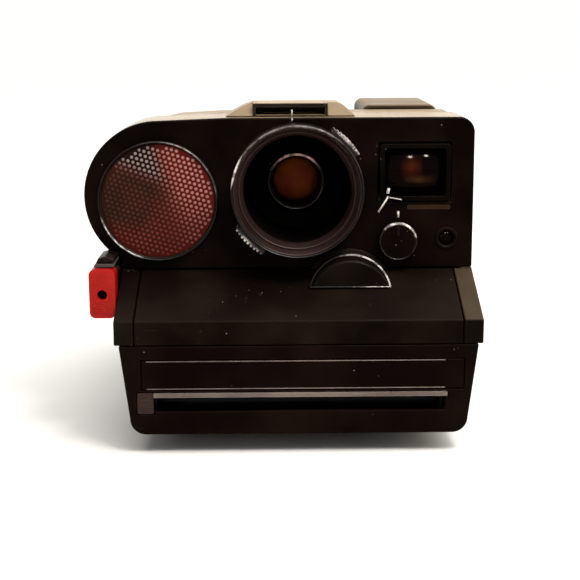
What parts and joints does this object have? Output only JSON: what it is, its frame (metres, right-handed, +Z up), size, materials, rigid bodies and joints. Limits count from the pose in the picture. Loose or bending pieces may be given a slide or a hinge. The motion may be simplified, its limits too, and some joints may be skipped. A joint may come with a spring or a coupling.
{
  "type": "instant camera",
  "caption": "Rigid black instant camera with sonar disc, focus ring, front picture slot, drop-down film door and red shutter button.",
  "frame": {"origin": "middle of the width and depth, in the plane that the base rests on", "axes": "+Z up, -Y out of the lens towards the subject, +X to the viewer's right when facing the lens"},
  "size_m": [0.1303, 0.146, 0.1095],
  "materials": {
    "abs_black": "fine moulded texture, dusty and lightly scuffed",
    "gloss_black": "smooth gloss moulding",
    "sonar_copper": "perforated, copper red, semi gloss",
    "sonar_gold": "thin metallised foil, bright",
    "red_plastic": "fine ribs, satin",
    "light_grey": "smooth satin",
    "steel": "plain, lightly brushed",
    "roller_steel": "polished",
    "brass": "plain",
    "glass": "coated, smooth",
    "mirror": "front silvered",
    "rubber": "matt",
    "nylon": "natural nylon",
    "counter_white": "matt, plain",
    "circuit_green": "solder-masked laminate"
  },
  "bodies": {
    "camera_body": {"base_housing": "abs_black", "door_hinge_pin": "steel", "tripod_nut": "brass", "base_screw_1": "steel", "base_screw_2": "steel", "base_screw_3": "steel", "battery_contact_left": "brass", "battery_contact_right": "brass", "film_frame": "abs_black", "front_deck": "abs_black", "rear_cover": "abs_black", "mirror": "mirror", "counter_window": "glass", "head_panel": "abs_black", "head_shell": "abs_black", "sonar_bezel": "gloss_black", "sonar_grille": "sonar_copper", "sonar_foil": "sonar_gold", "sonar_backplate": "steel", "lens_mount": "abs_black", "rear_lens": "glass", "shutter_plate": "steel", "focus_drive_cover": "gloss_black", "viewfinder_bezel": "abs_black", "viewfinder_window": "glass", "viewfinder_housing": "abs_black", "eyepiece_lens": "glass", "eyecup": "rubber", "photocell_window": "glass", "flash_socket": "abs_black", "flash_contacts": "brass", "circuit_board": "circuit_green", "button_housing": "abs_black", "button_trim": "light_grey", "button_cap": "abs_black", "motor": "steel", "gear_plate": "steel"},
    "film_door": {"film_door": "abs_black", "door_faceplate": "gloss_black", "exit_lip": "light_grey", "roller_frame": "steel"},
    "upper_roller": {"upper_roller": "roller_steel", "upper_roller_gear": "nylon"},
    "lower_roller": {"lower_roller": "roller_steel", "lower_roller_gear": "nylon"},
    "idler_gear": {"idler_gear": "nylon"},
    "motor_pinion": {"motor_pinion": "brass"},
    "focus_ring": {"focus_ring": "abs_black", "lens_cell": "gloss_black", "front_lens": "glass", "focus_gear": "nylon"},
    "focus_pinion": {"focus_pinion": "nylon"},
    "focus_stop_wheel": {"focus_stop_wheel": "brass"},
    "shutter_blade_left": {"shutter_blade_left": "steel"},
    "shutter_blade_right": {"shutter_blade_right": "steel"},
    "exposure_dial": {"exposure_dial": "gloss_black"},
    "shutter_button": {"shutter_button": "red_plastic"},
    "door_latch": {"door_latch": "abs_black"},
    "pick_arm": {"pick_arm": "steel"},
    "counter_wheel": {"counter_wheel": "counter_white"}
  },
  "joints": [
    {"name": "film_door_hinge", "type": "hinge", "parent": "camera_body", "child": "film_door", "pos_m": [0.00515, -0.0515, 0.0022], "axis": [1, 0, 0], "range_deg": [0, 75]},
    {"name": "upper_roller_spin", "type": "hinge", "parent": "film_door", "child": "upper_roller", "pos_m": [0.00515, -0.057, 0.02108], "axis": [1, 0, 0], "continuous": true},
    {"name": "lower_roller_spin", "type": "hinge", "parent": "film_door", "child": "lower_roller", "pos_m": [0.00515, -0.057, 0.0134], "axis": [1, 0, 0], "continuous": true},
    {"name": "idler_spin", "type": "hinge", "parent": "camera_body", "child": "idler_gear", "pos_m": [0.05415, -0.04982, 0.03206], "axis": [1, 0, 0], "continuous": true},
    {"name": "motor_pinion_spin", "type": "hinge", "parent": "camera_body", "child": "motor_pinion", "pos_m": [0.05415, -0.05, 0.0439], "axis": [1, 0, 0], "continuous": true},
    {"name": "focus_ring_turn", "type": "hinge", "parent": "camera_body", "child": "focus_ring", "pos_m": [0.00515, -0.05, 0.082], "axis": [0, -1, 0], "range_deg": [-60, 60]},
    {"name": "focus_pinion_turn", "type": "hinge", "parent": "camera_body", "child": "focus_pinion", "pos_m": [0.01591, -0.0184, 0.05966], "axis": [0, -1, 0], "range_deg": [-252, 252]},
    {"name": "focus_stop_turn", "type": "hinge", "parent": "camera_body", "child": "focus_stop_wheel", "pos_m": [0.02216, -0.0184, 0.04668], "axis": [0, -1, 0], "range_deg": [-126, 126]},
    {"name": "shutter_left_slide", "type": "slide", "parent": "camera_body", "child": "shutter_blade_left", "axis": [-1, 0, 0], "range_m": [0, 0.008], "stiffness_N_per_m": 5},
    {"name": "shutter_right_slide", "type": "slide", "parent": "camera_body", "child": "shutter_blade_right", "axis": [1, 0, 0], "range_m": [0, 0.008]},
    {"name": "exposure_dial_turn", "type": "hinge", "parent": "camera_body", "child": "exposure_dial", "pos_m": [0.03845, -0.047, 0.0645], "axis": [0, -1, 0], "range_deg": [-45, 45]},
    {"name": "shutter_button_press", "type": "slide", "parent": "camera_body", "child": "shutter_button", "axis": [0, 1, 0], "range_m": [0, 0.0025], "stiffness_N_per_m": 300},
    {"name": "door_latch_slide", "type": "slide", "parent": "camera_body", "child": "door_latch", "axis": [0, 1, 0], "range_m": [0, 0.004], "stiffness_N_per_m": 200},
    {"name": "pick_arm_slide", "type": "slide", "parent": "camera_body", "child": "pick_arm", "axis": [0, -1, 0], "range_m": [0, 0.01], "stiffness_N_per_m": 20},
    {"name": "counter_wheel_turn", "type": "hinge", "parent": "camera_body", "child": "counter_wheel", "pos_m": [-0.03085, 0.04834, 0.04828], "axis": [0, 0.7071, 0.7071], "range_deg": [0, 330]}
  ],
  "couplings": [
    {"joint": "lower_roller_spin", "follows": "upper_roller_spin", "ratio": -1},
    {"joint": "idler_spin", "follows": "upper_roller_spin", "ratio": -0.41379},
    {"joint": "motor_pinion_spin", "follows": "upper_roller_spin", "ratio": 1.5},
    {"joint": "focus_pinion_turn", "follows": "focus_ring_turn", "ratio": -4.1667},
    {"joint": "focus_stop_turn", "follows": "focus_ring_turn", "ratio": 2.0833},
    {"joint": "shutter_right_slide", "follows": "shutter_left_slide", "ratio": 1}
  ]
}
